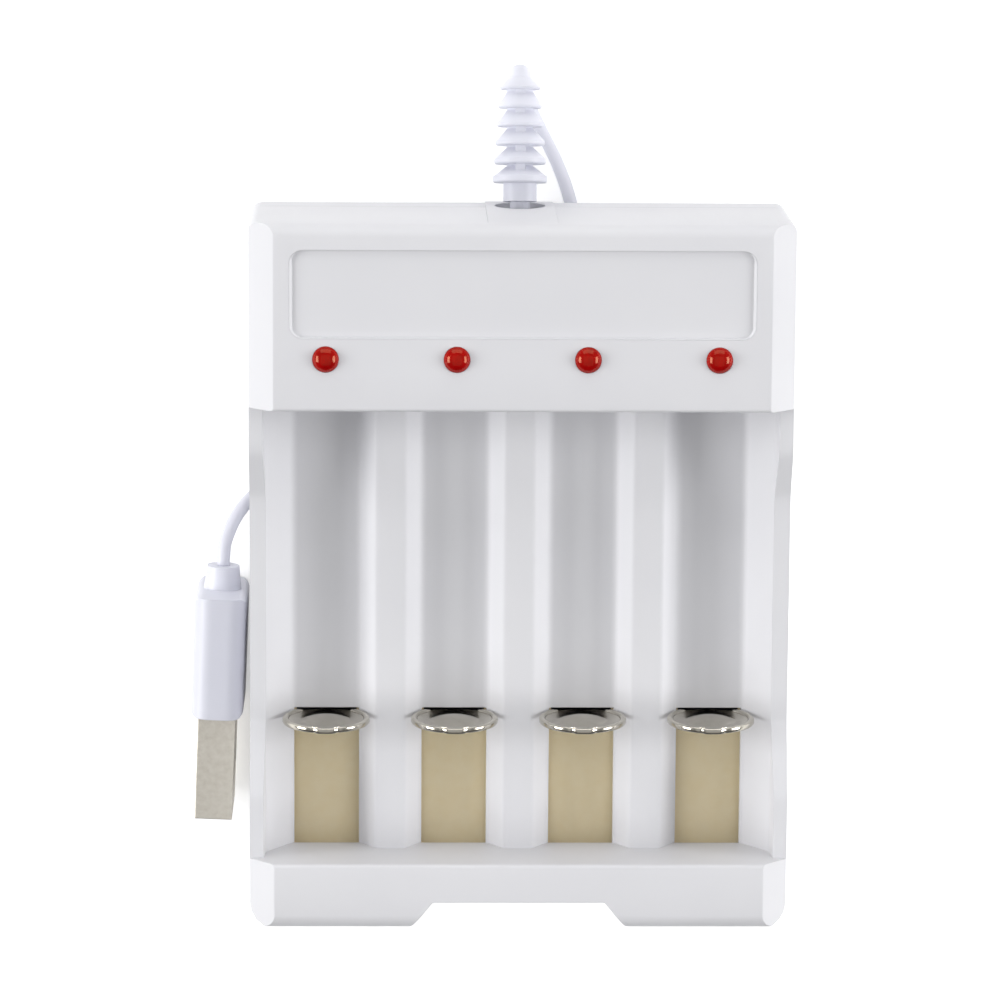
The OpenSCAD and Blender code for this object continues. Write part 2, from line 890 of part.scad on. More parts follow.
function skirt_y(k) = skirt_first + k * skirt_pitch;
function skirt_edge_at(k) = skirt_base_edge + (skirt_edge - skirt_base_edge) * k / (skirts - 1);
function skirt_r(k) = (skirt_base_d + (skirt_tip_d - skirt_base_d) * k / (skirts - 1)) / 2;

// Outside of the strain relief's stem along its own axis: a column, and skirts that flare towards the housing
module relief_section() {
  last = skirts - 1;
  polygon(concat(
    [[0, relief_groove], [relief_d / 2, relief_groove], [relief_d / 2, skirt_first]],
    [for (k = [0:last])
      each concat(
        k > 0 ? [[neck_d / 2, skirt_y(k)]] : [],
        [[skirt_r(k) - skirt_lip, skirt_y(k)]],
        [[skirt_r(k), skirt_y(k) + skirt_lip]],
        [[skirt_r(k), skirt_y(k) + skirt_lip + skirt_edge_at(k)]],
        k < last ? [[neck_d / 2, skirt_y(k + 1) - skirt_gap]] : [[tip_d / 2, relief_l + tip_taper]]
      )],
    [[0, relief_l + tip_taper]]
  ));
}

// Webs that join neighbouring skirts, above and below
module relief_webs() {
  web_inset = 0.8;
  for (k = [0:skirts - 2]) {
    r = skirt_r(k + 1) - web_inset;
    box([-web_w / 2, -r, skirt_y(k) + skirt_lip], [web_w / 2, r, skirt_y(k + 1) + skirt_lip / 2]);
  }
}

// The tip, bent down in an arc from the last skirt
module relief_bend() {
  translate([0, tip_bend_r, relief_l])
    rotate([90, 0, 0])
      rotate([0, -90, 0])
        rotate_extrude(angle = tip_bend)
          translate([tip_bend_r, 0])
            circle(d = tip_d);
}

module strain_relief() {
  color(white_pvc)
    translate([0, 0, z_joint]) {
      rod_y(anchor_d, anchor_y - anchor_t, anchor_y);
      rod_y(root_d, anchor_y - anchor_t / 2, end_y + skirt_first / 2);
      translate([0, end_y, 0])
        rotate([-90 - relief_droop, 0, 0]) {
          rotate_extrude()
            relief_section();
          relief_webs();
          relief_bend();
        }
    }
}

module cord() {
  color(white_pvc)
    tube(cord_points, cord_d / 2, cord_ring_sides);
}

// The plug's own frame: the cord goes in at its origin, and the metal shell points along -Y
module place_plug() {
  translate(plug_entry)
    rotate([0, 0, -plug_turn])
      children();
}

// Moulded grip with rounded edges, and the collar where the cord goes in
module plug_moulding() {
  grip_round = 2.3;
  end_round = 1;
  color(white_pvc)
    place_plug() {
      intersection() {
        along_y(moulding_y0, -collar_l)
          rounded_square(plug_w, plug_h, grip_round);
        translate([0, -collar_l - plug_l / 2, -plug_h])
          linear_extrude(2 * plug_h)
            rounded_square(plug_w, plug_l, end_round);
      }
      translate([0, -collar_l - fit, 0])
        rotate([-90, 0, 0])
          cylinder(d1 = collar_d0, d2 = collar_d1, h = collar_l + fit);
    }
}

// Folded metal shell, open at its end, with two windows in each broad side
module plug_shell() {
  window = [2.2, 2.6];
  window_gap = 2.9;
  window_setback = 5.2;
  color(nickel)
    place_plug()
      difference() {
        box([-shell_t / 2, shell_y0, -shell_w / 2], [shell_t / 2, moulding_y0, shell_w / 2]);
        box(
          [-shell_t / 2 + shell_wall, shell_y0 - past, -shell_w / 2 + shell_wall],
          [shell_t / 2 - shell_wall, moulding_y0 + past, shell_w / 2 - shell_wall]
        );
        for (s = [-1, 1])
          translate([0, shell_y0 + window_setback, s * window_gap])
            box([-shell_t, 0, -window[1] / 2], [shell_t, window[0], window[1] / 2]);
      }
}

module plug_tongue() {
  tongue_setback = 0.6;
  color(white_pvc)
    place_plug()
      box(
        [-shell_t / 2 + shell_wall, shell_y0 + tongue_setback, -shell_w / 2 + shell_wall],
        [-shell_t / 2 + shell_wall + tongue_t, moulding_y0, shell_w / 2 - shell_wall]
      );
}

module plug_contacts() {
  strip = [0.15, 7, 1];
  strip_setback = 2;
  places = [-3.5, -1, 1, 3.5];
  color(gold)
    place_plug()
      translate([-shell_t / 2 + shell_wall + tongue_t, shell_y0 + strip_setback, 0])
        for (z = places)
          translate([0, 0, z - strip[2] / 2])
            cube(strip);
}

front_shell();
rear_cover();
circuit_board();
charge_controller();
supply_wires();
for (i = [1:bays]) lamp(i);
lamp_leads();
for (i = [1:bays]) fixed_contact(i);
for (i = [1:bays]) sliding_contact(i);
for (i = [1:bays]) return_spring(i);
cover_screws();
for (i = [1:4]) foot(i);
strain_relief();
cord();
plug_moulding();
plug_shell();
plug_tongue();
plug_contacts();
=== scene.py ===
"""Looks of a four-bay AA battery charger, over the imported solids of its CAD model.

The frame is loaded first. The stage operator sets up the camera of the photograph, the floor and the lights,
and each other operator dresses one piece or group of like pieces. Lengths are in metres, +Z is up and +Y
points to the end with the strain relief.
"""

import bmesh
import bpy
import numpy as np
from mathutils import Matrix, Vector


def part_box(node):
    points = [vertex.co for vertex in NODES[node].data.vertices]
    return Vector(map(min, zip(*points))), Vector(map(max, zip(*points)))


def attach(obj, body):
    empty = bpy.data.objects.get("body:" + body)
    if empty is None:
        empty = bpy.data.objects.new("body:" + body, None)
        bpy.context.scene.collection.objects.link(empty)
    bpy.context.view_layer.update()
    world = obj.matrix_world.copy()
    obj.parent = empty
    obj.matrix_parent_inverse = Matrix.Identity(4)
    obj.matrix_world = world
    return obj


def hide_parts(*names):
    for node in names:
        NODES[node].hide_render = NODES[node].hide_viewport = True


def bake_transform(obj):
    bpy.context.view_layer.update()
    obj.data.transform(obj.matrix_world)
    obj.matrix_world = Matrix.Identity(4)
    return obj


bl_info = {
    "name": "AA battery charger",
    "version": (1, 0, 0),
    "blender": (4, 5, 0),
    "location": "View3D > Sidebar > Charger",
    "description": "Dresses the solids of a four-bay battery charger with its finishes and finer pieces",
    "category": "Object",
}

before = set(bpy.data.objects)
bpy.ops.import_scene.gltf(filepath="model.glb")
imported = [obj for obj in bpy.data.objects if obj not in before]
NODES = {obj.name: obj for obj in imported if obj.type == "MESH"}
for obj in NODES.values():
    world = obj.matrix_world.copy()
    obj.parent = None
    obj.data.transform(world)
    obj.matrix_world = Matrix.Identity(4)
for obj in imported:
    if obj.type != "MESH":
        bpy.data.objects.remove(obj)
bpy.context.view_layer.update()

MM = 0.001
BAYS = 4
FEET = 4

# Points as close as this are joined: in a piece made here, and in the loose triangles of a solid
PIECE_JOIN = 0.001 * MM
SOLID_JOIN = 0.002 * MM


# Numbers and arrays


def linear(hex_colour):
    """sRGB hex to linear RGB: below 0.04045 a straight line, above it a power of 2.4."""
    s = np.array([int(hex_colour[i:i + 2], 16) for i in (1, 3, 5)]) / 255
    return tuple(np.where(s <= 0.04045, s / 12.92, ((s + 0.055) / 1.055) ** 2.4))


def unit(v):
    """Each row of v divided by its length."""
    return v / np.linalg.norm(v, axis=-1, keepdims=True)


def smooth_path(points, steps):
    """Catmull-Rom curve through the points: on each span a cubic whose slope at a point is half the way
    between its two neighbours."""
    p = np.asarray(points, float)
    ends = np.vstack([2 * p[0] - p[1], p, 2 * p[-1] - p[-2]])
    a, b, c, d = ends[:-3, None], ends[1:-2, None], ends[2:-1, None], ends[3:, None]
    t = np.linspace(0, 1, steps, endpoint=False)[None, :, None]
    square, cube = 2 * a - 5 * b + 4 * c - d, 3 * b - a - 3 * c + d
    curve = 0.5 * (2 * b + (c - a) * t + square * t ** 2 + cube * t ** 3)
    return np.vstack([curve.reshape(-1, 3), p[-1]])


def swept(path, radius, sides, reference):
    """Round tube: point (i, k) is the path's point i plus the radius times the cosine and sine of 2 pi k / sides
    along two directions that stand square to the path, the first of them square to the reference too."""
    ahead = unit(np.gradient(path, axis=0))
    across = unit(np.cross(ahead, np.asarray(reference, float)))
    other = np.cross(ahead, across)
    turn = np.linspace(0, 2 * np.pi, sides, endpoint=False)[None, :, None]
    return path[:, None] + radius * (np.cos(turn) * across[:, None] + np.sin(turn) * other[:, None])


def revolved(profile, sides):
    """Surface of revolution about Z: point (i, k) is the profile's radius i turned by 2 pi k / sides."""
    r, z = np.asarray(profile, float).T
    turn = np.linspace(0, 2 * np.pi, sides, endpoint=False)
    return np.stack([
        r[:, None] * np.cos(turn), r[:, None] * np.sin(turn), np.repeat(z[:, None], sides, axis=1)
    ], axis=-1)


def bent(corners, reach, steps):
    """Path through the corners, each inner one replaced by a parabola that starts and ends reach away from it."""
    p = np.asarray(corners, float)
    before, after = unit(p[:-2] - p[1:-1]) * reach, unit(p[2:] - p[1:-1]) * reach
    t = np.linspace(0, 1, steps)[None, :, None]
    turns = p[1:-1, None] + (1 - t) ** 2 * before[:, None] + t ** 2 * after[:, None]
    return np.vstack([p[:1], turns.reshape(-1, p.shape[1]), p[-1:]])


def strip(path, half_widths, thickness):
    """Bent sheet: at each point of a path in the Y-Z plane, the four corners of a rectangle that is as wide as
    given along X, and as thick as the sheet square to the path."""
    ahead = unit(np.gradient(path, axis=0))
    out = np.cross(ahead, (1.0, 0.0, 0.0)) * thickness / 2
    wide = np.asarray(half_widths)[:, None] * np.array((1.0, 0.0, 0.0))
    return np.stack([path - wide - out, path + wide - out, path + wide + out, path - wide + out], axis=1)


# Objects


def tube_faces(grid, looped):
    """Faces of a tube: quads between neighbouring rings, and one face at each end unless the tube runs back into
    itself."""
    rows, sides = grid.shape[:2]
    i, k = np.meshgrid(np.arange(rows - 1), np.arange(sides), indexing="ij")
    a, b = i * sides + k, i * sides + (k + 1) % sides
    quads = np.stack([a, b, b + sides, a + sides], axis=-1).reshape(-1, 4).tolist()
    if looped:
        return quads
    last = (rows - 1) * sides
    return quads + [list(range(sides))[::-1], list(range(last, last + sides))]


def tube_piece(name, grid, body, looped=False):
    """A smooth mesh piece from a tube's grid of points, on a body of the frame, if one is
    named."""
    mesh = bpy.data.meshes.new(name)
    mesh.from_pydata(grid.reshape(-1, 3).tolist(), [], tube_faces(grid, looped))
    mesh.polygons.foreach_set("use_smooth", [True] * len(mesh.polygons))
    mesh.update()
    piece = bpy.data.objects.new(name, mesh)
    bpy.context.scene.collection.objects.link(piece)
    if body:
        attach(piece, body)
    return piece


def shell_piece(name, grid, body, split_angle, looped=False):
    """A piece from the grid of a tube or spun form: points that coincide at poles and seams are joined, faces are
    turned outwards, and edges sharper than the angle, in degrees, stay crisp."""
    piece = tube_piece(name, grid, body, looped)
    bm = bmesh.new()
    bm.from_mesh(piece.data)
    bmesh.ops.remove_doubles(bm, verts=bm.verts, dist=PIECE_JOIN)
    bmesh.ops.recalc_face_normals(bm, faces=bm.faces)
    bm.to_mesh(piece.data)
    bm.free()
    piece.modifiers.new("keep_edges", "EDGE_SPLIT").split_angle = np.radians(split_angle)
    return piece


def dress(node, material, split_angle=None):
    """Give a solid of the frame its material, and shade it smooth up to an angle in degrees, if one is given."""
    piece = NODES[node]
    piece.data.materials.clear()
    piece.data.materials.append(material)
    if split_angle is not None:
        piece.data.polygons.foreach_set("use_smooth", [True] * len(piece.data.polygons))
        piece.modifiers.new("join_faces", "WELD").merge_threshold = SOLID_JOIN
        piece.modifiers.new("keep_edges", "EDGE_SPLIT").split_angle = np.radians(split_angle)


# Materials

# Rays that a material sends out to round the look of an edge
EDGE_SAMPLES = 6


def add(tree, kind, settings=(), inputs=()):
    """Add a node: settings are its attributes, and inputs are values, or sockets to link from."""
    node = tree.nodes.new(kind)
    for key, value in dict(settings).items():
        setattr(node, key, value)
    for key, value in dict(inputs).items():
        if isinstance(value, bpy.types.NodeSocket):
            tree.links.new(value, node.inputs[key])
        else:
            node.inputs[key].default_value = value
    return node


def new_material(name):
    """An empty material, its node tree and its output node."""
    material = bpy.data.materials.new(name)
    material.use_nodes = True
    material.node_tree.nodes.clear()
    return material, material.node_tree, add(material.node_tree, "ShaderNodeOutputMaterial")


def per_mm(size):
    """Texture scale, in repeats per metre, of a pattern whose features are this many millimetres apart."""
    return 1 / (size * MM)


def rgba(colour):
    """A linear colour with full opacity, as a colour socket takes it."""
    return (*colour, 1)


def moulded_plastic(name, colour, shade, roughness, grain_mm, cloud_mm, relief, edge_mm=0.0, gloss=0.5):
    """Moulded plastic: a base colour that drifts slowly to its shade, and the fine grain of a spark-eroded tool."""
    spread, grain_depth = 0.05, 0.02 * MM
    material, tree, out = new_material(name)
    place = add(tree, "ShaderNodeTexCoord").outputs["Object"]
    cloud = add(tree, "ShaderNodeTexNoise", {}, {"Vector": place, "Scale": per_mm(cloud_mm), "Detail": 2.0})
    tone = add(tree, "ShaderNodeMix", {"data_type": "RGBA"}, {
        0: cloud.outputs["Fac"], 6: rgba(colour), 7: rgba(shade),
    })
    grain = add(tree, "ShaderNodeTexNoise", {}, {"Vector": place, "Scale": per_mm(grain_mm), "Detail": 3.0})
    rough = add(tree, "ShaderNodeMapRange", {}, {
        "Value": grain.outputs["Fac"], "To Min": roughness - spread, "To Max": roughness + spread,
    })
    bump = add(tree, "ShaderNodeBump", {}, {
        "Strength": relief, "Distance": grain_depth, "Height": grain.outputs["Fac"],
    })
    if edge_mm:
        soft = add(tree, "ShaderNodeBevel", {"samples": EDGE_SAMPLES}, {"Radius": edge_mm * MM})
        tree.links.new(soft.outputs["Normal"], bump.inputs["Normal"])
    shader = add(tree, "ShaderNodeBsdfPrincipled", {}, {
        "Base Color": tone.outputs[2], "Roughness": rough.outputs["Result"],
        "Normal": bump.outputs["Normal"], "IOR": 1.5, "Specular IOR Level": gloss,
    })
    tree.links.new(shader.outputs[0], out.inputs["Surface"])
    return material


def plated_metal(name, colour, shade, roughness, mottle_mm, relief, edge_mm=0.0):
    """Plated sheet metal: a mottle of two tones, with more and less polish in the same places."""
    spread, mottle_depth = 0.3, 0.01 * MM
    material, tree, out = new_material(name)
    place = add(tree, "ShaderNodeTexCoord").outputs["Object"]
    mottle = add(tree, "ShaderNodeTexNoise", {}, {"Vector": place, "Scale": per_mm(mottle_mm), "Detail": 4.0})
    tone = add(tree, "ShaderNodeMix", {"data_type": "RGBA"}, {
        0: mottle.outputs["Fac"], 6: rgba(colour), 7: rgba(shade),
    })
    rough = add(tree, "ShaderNodeMapRange", {}, {
        "Value": mottle.outputs["Fac"], "To Min": roughness * (1 - spread), "To Max": roughness * (1 + spread),
    })
    bump = add(tree, "ShaderNodeBump", {}, {
        "Strength": relief, "Distance": mottle_depth, "Height": mottle.outputs["Fac"],
    })
    if edge_mm:
        soft = add(tree, "ShaderNodeBevel", {"samples": EDGE_SAMPLES}, {"Radius": edge_mm * MM})
        tree.links.new(soft.outputs["Normal"], bump.inputs["Normal"])
    shader = add(tree, "ShaderNodeBsdfPrincipled", {}, {
        "Base Color": tone.outputs[2], "Metallic": 1.0, "Roughness": rough.outputs["Result"],
        "Normal": bump.outputs["Normal"],
    })
    tree.links.new(shader.outputs[0], out.inputs["Surface"])
    return material


def red_epoxy(name, colour, shade):
    """Cast red epoxy of a lamp: its red drifts to a deeper one, under a clear gloss that reflects cream."""
    cloud_mm = 1.2
    material, tree, out = new_material(name)
    place = add(tree, "ShaderNodeTexCoord").outputs["Object"]
    cloud = add(tree, "ShaderNodeTexNoise", {}, {"Vector": place, "Scale": per_mm(cloud_mm), "Detail": 1.0})
    tone = add(tree, "ShaderNodeMix", {"data_type": "RGBA"}, {
        0: cloud.outputs["Fac"], 6: rgba(colour), 7: rgba(shade),
    })
    shader = add(tree, "ShaderNodeBsdfPrincipled", {}, {
        "Base Color": tone.outputs[2], "Roughness": 0.12, "IOR": 1.54, "Specular IOR Level": 0.45,
        "Specular Tint": rgba(linear("#FFC79A")),
    })
    tree.links.new(shader.outputs[0], out.inputs["Surface"])
    return material


# Properties


def colour_property(name, text, hex_colour):
    """A colour that a user may change, with its default as sRGB hex."""
    return bpy.props.FloatVectorProperty(
        name=name, description=text, subtype="COLOR", size=3, min=0, max=1, default=linear(hex_colour)
    )


def length_property(name, text, millimetres):
    """A length that a user may change, with its default in millimetres."""
    return bpy.props.FloatProperty(
        name=name, description=text, unit="LENGTH", subtype="DISTANCE", min=0, default=millimetres * MM
    )


class ChargerColours(bpy.types.PropertyGroup):
    """Colours of the charger's finishes."""

    abs_white: colour_property("Housing", "White ABS of both shells", "#DFDFE2")
    abs_shade: colour_property("Housing shade", "The tone that the shells drift to", "#D8D8DC")
    pvc_white: colour_property("Lead", "White PVC of the cord, strain relief and plug", "#DFE0E9")
    pvc_shade: colour_property("Lead shade", "The tone that the PVC drifts to", "#D7D8E3")
    lamp_red: colour_property("Lamp", "Red epoxy of the lamps", "#B00006")
    lamp_dark: colour_property("Lamp shade", "Deeper red inside the epoxy", "#8A0002")
    nickel: colour_property("Nickel", "Nickel plate of the contacts", "#D0CCC2")
    nickel_dark: colour_property("Nickel shade", "Duller nickel", "#B6B1A5")
    board: colour_property("Board", "Tan laminate of the circuit board", "#FFF1CD")
    board_dark: colour_property("Board shade", "Fibres in the laminate", "#FAE8BC")


class ChargerSizes(bpy.types.PropertyGroup):
    """Sizes of the finer pieces."""

    cord_diameter: length_property("Cord diameter", "Outside diameter of the cord", 1.6)
    spring_diameter: length_property("Spring diameter", "Outside diameter of a return spring", 2.4)
    spring_wire: length_property("Spring wire", "Wire of a return spring", 0.32)
    lamp_diameter: length_property("Lamp diameter", "Diameter of a lamp where it leaves the cap", 3.08)
    dish_diameter: length_property("Dish diameter", "Diameter of a sliding contact's dish", 10.4)


def colours():
    """The colours as they are set in this scene."""
    return bpy.context.scene.charger_colours


def sizes():
    """The sizes as they are set in this scene."""
    return bpy.context.scene.charger_sizes


MATERIALS = {}


def finish(key):
    """The finished material of that key, made on first use. Grain and mottle are drawn several times coarser than
    on the real surfaces, so that they show in a picture of the whole charger."""
    c = colours()
    makers = {
        # ABS, moulded in a finely spark-eroded tool: satin, with a slight drift of tone
        "abs": lambda: moulded_plastic(
            "abs_moulded_white", c.abs_white, c.abs_shade,
            roughness=0.52, grain_mm=0.35, cloud_mm=14, relief=0.25, edge_mm=0.12, gloss=0.3,
        ),
        # PVC, overmoulded: softer and a little bluer than the shells
        "pvc": lambda: moulded_plastic(
            "pvc_overmoulded_white", c.pvc_white, c.pvc_shade,
            roughness=0.42, grain_mm=0.3, cloud_mm=8, relief=0.2, edge_mm=0.15,
        ),
        # Phenolic paper laminate, pressed: tan, with a fine fibre
        "laminate": lambda: moulded_plastic(
            "laminate_pressed_tan", c.board, c.board_dark,
            roughness=0.5, grain_mm=0.25, cloud_mm=1.5, relief=0.3,
        ),
        # Epoxy of the chip, moulded with filler: black and dull
        "chip": lambda: moulded_plastic(
            "epoxy_moulded_black", linear("#1E1E20"), linear("#262628"),
            roughness=0.5, grain_mm=0.2, cloud_mm=3, relief=0.3,
        ),
        # Rubber of the feet, moulded: grey, with hardly any gloss
        "rubber": lambda: moulded_plastic(
            "rubber_moulded_grey", linear("#4A4B4E"), linear("#414245"),
            roughness=0.75, grain_mm=0.3, cloud_mm=4, relief=0.4, edge_mm=0.2,
        ),
        # Epoxy of the lamps, cast: deep red under a clear gloss
        "lamp": lambda: red_epoxy("epoxy_cast_red", c.lamp_red, c.lamp_dark),
        # Nickel plate on stamped steel: bright, barely mottled
        "nickel": lambda: plated_metal(
            "steel_nickel_plated", c.nickel, c.nickel_dark,
            roughness=0.16, mottle_mm=1.2, relief=0.1, edge_mm=0.1,
        ),
        # Spring steel of the tongues, made dark grey as painted shade: it stands in for the shadow of the slot
        # behind each dish
        "painted_shade_steel": lambda: plated_metal(
            "steel_spring_painted_shade", linear("#3E3E44"), linear("#323237"),
            roughness=0.4, mottle_mm=0.8, relief=0.1,
        ),
        # Nickel plate over the plug's rolled sheet: duller and warmer, with a clearer mottle
        "shell": lambda: plated_metal(
            "steel_rolled_nickel_plated", linear("#F3EFE5"), linear("#D0CABE"),
            roughness=0.55, mottle_mm=0.8, relief=0.3, edge_mm=0.2,
        ),
        # Drawn spring wire: grey and smooth
        "spring": lambda: plated_metal(
            "steel_drawn_wire", linear("#B9BBBD"), linear("#A4A6A8"),
            roughness=0.25, mottle_mm=0.8, relief=0.1,
        ),
        # Zinc plate on the screws: a cool grey with some bloom
        "screw": lambda: plated_metal(
            "steel_zinc_plated", linear("#C2C2C0"), linear("#A9AAA8"),
            roughness=0.3, mottle_mm=0.8, relief=0.2, edge_mm=0.1,
        ),
        # Gold flash on the plug's contact strips: yellow and bright
        "gold": lambda: plated_metal(
            "copper_gold_plated", linear("#E0BE6A"), linear("#CFA850"),
            roughness=0.2, mottle_mm=0.8, relief=0.1,
        ),
    }
    if key not in MATERIALS:
        MATERIALS[key] = makers[key]()
    return MATERIALS[key]


# Route of the cord, in millimetres, as in the part's source
RELIEF_TIP = (0, 57.64, 6.313)
PLUG_ENTRY = (-35.55, -1.9, 7.5)
CORD_ROUTE = [
    RELIEF_TIP, (0, 57.84, 5.3), (0.1, 57.84, 4.2), (0.2, 57.54, 3.2), (0.3, 56.94, 2.3), (0.5, 56.14, 1.5),
    (0.8, 55.14, 1), (1.2, 53.74, 0.8), (1.9, 52.04, 0.8), (3, 49.84, 0.8), (4.7, 46.4, 0.8), (6.1, 42.6, 0.8),
    (7, 38.6, 0.8), (6.9, 34.8, 0.8), (5.6, 31.6, 0.8), (3, 28.8, 0.8), (-1, 26, 0.8), (-6, 22.8, 0.8),
    (-12, 18.8, 0.8), (-19, 14.4, 0.8), (-25, 10.5, 0.8), (-28.15, 8.6, 1), (-30.25, 7.2, 1.7), (-31.85, 6, 3),
    (-33.15, 4.8, 4.4), (-34.15, 3.5, 5.6), (-34.85, 2.1, 6.6), (-35.35, 0.7, 7.3), (-35.5, -0.6, 7.5),
    PLUG_ENTRY,
]


# Operators


class CHARGER_OT_cord(bpy.types.Operator):
    """Sweep the white cord along its route from the strain relief to the plug"""

    bl_idname = "charger.cord"
    bl_label = "Cord"

    def execute(self, context):
        steps, sides = 8, 20
        diameter = sizes().cord_diameter
        path = smooth_path(np.array(CORD_ROUTE) * MM, steps)
        grid = swept(path, diameter / 2, sides, (1, 0, 0))
        piece = tube_piece("cord_tube", grid, "charger")
        piece.data.materials.append(finish("pvc"))
        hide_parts("cord")
        return {"FINISHED"}


class CHARGER_OT_housing(bpy.types.Operator):
    """Dress both shells, the screws and the feet, and round the edge of the bare label recess"""

    bl_idname = "charger.housing"
    bl_label = "Housing"

    def execute(self, context):
        for node in ("front_shell", "rear_cover"):
            dress(node, finish("abs"), split_angle=28)
        dress("cover_screws", finish("screw"), split_angle=30)
        for i in range(1, FEET + 1):
            dress(f"foot_{i}", finish("rubber"), split_angle=40)
        piece = shell_piece(
            "label_edge", self.label_edge(), "charger", split_angle=30, looped=True
        )
        piece.data.materials.append(finish("abs"))
        return {"FINISHED"}

    def label_edge(self):
        """Fillet round the bare label recess: about each corner's own middle a quarter circle, and at each of its
        points a three-sided section that slopes from the wall's top down to the recess floor. The slope is wide
        at the two sides, and narrower by a share of itself along the far and near edges."""
        half, corner, middle_y = np.array((27.2, 5.2)) * MM, 1.6 * MM, 34 * MM
        depth, slope, sunk = 0.4 * MM, 0.4 * MM, 0.02 * MM
        far_share, near_share, corner_points = 0.85, 0.5, 9
        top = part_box("front_shell")[1][2]
        level = top - np.array((sunk, depth + sunk / 2, depth + sunk))
        turn = np.arange(4)[:, None] * np.pi / 2 + np.linspace(0, np.pi / 2, corner_points)
        outwards = np.stack([np.cos(turn), np.sin(turn)], axis=-1)[:, :, None]
        narrower = far_share * np.maximum(np.sin(turn), 0) + near_share * np.maximum(-np.sin(turn), 0)
        width = slope * (1 - narrower)
        inset = np.stack([np.full_like(width, -sunk / 4), width, np.full_like(width, -sunk)], axis=-1)
        middles = (np.array([(1, 1), (-1, 1), (-1, -1), (1, -1)]) * (half - corner))[:, None, None]
        flat = (middles + (corner - inset)[..., None] * outwards).reshape(-1, 3, 2) + np.array((0, middle_y))
        grid = np.concatenate([flat, np.broadcast_to(level[:, None], (len(flat), 3, 1))], axis=-1)
        return np.concatenate([grid, grid[:1]])


class CHARGER_OT_board(bpy.types.Operator):
    """Dress the circuit board, its controller chip and the supply wires"""

    bl_idname = "charger.board"
    bl_label = "Circuit board"

    def execute(self, context):
        dress("circuit_board", finish("laminate"))
        dress("charge_controller", finish("chip"))
        dress("supply_wires", finish("pvc"), split_angle=40)
        return {"FINISHED"}


class CHARGER_OT_lamps(bpy.types.Operator):
    """Cast the red lamps and dress their leads"""

    bl_idname = "charger.lamps"
    bl_label = "Lamps"

    def execute(self, context):
        for i in range(1, BAYS + 1):
            low, high = np.array(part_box(f"lamp_{i}"))
            piece = shell_piece(
                f"lamp_dome_{i}", self.lamp(low, high), "charger", split_angle=40
            )
            piece.data.materials.append(finish("lamp"))
            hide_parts(f"lamp_{i}")
        dress("lamp_leads", finish("nickel"))
        return {"FINISHED"}

    def lamp(self, low, high):
        """Spun profile: a cap of a sphere that fills its hole, the barrel through the wall, and a flange."""
        proud, wall, radius = 0.9 * MM, 1.8 * MM, sizes().lamp_diameter / 2
        dome_points, sides = 14, 48
        ball = (radius ** 2 + proud ** 2) / (2 * proud)
        tilt = np.linspace(0, np.arcsin(radius / ball), dome_points)
        dome = np.stack([ball * np.sin(tilt), high[2] - ball * (1 - np.cos(tilt))], axis=1)
        flange, under = (high[0] - low[0]) / 2, high[2] - proud - wall
        foot = [(radius, under), (flange, under), (flange, low[2]), (0, low[2])]
        grid = revolved(np.vstack([dome, foot]), sides)
        return grid + np.array([(low[0] + high[0]) / 2, (low[1] + high[1]) / 2, 0])


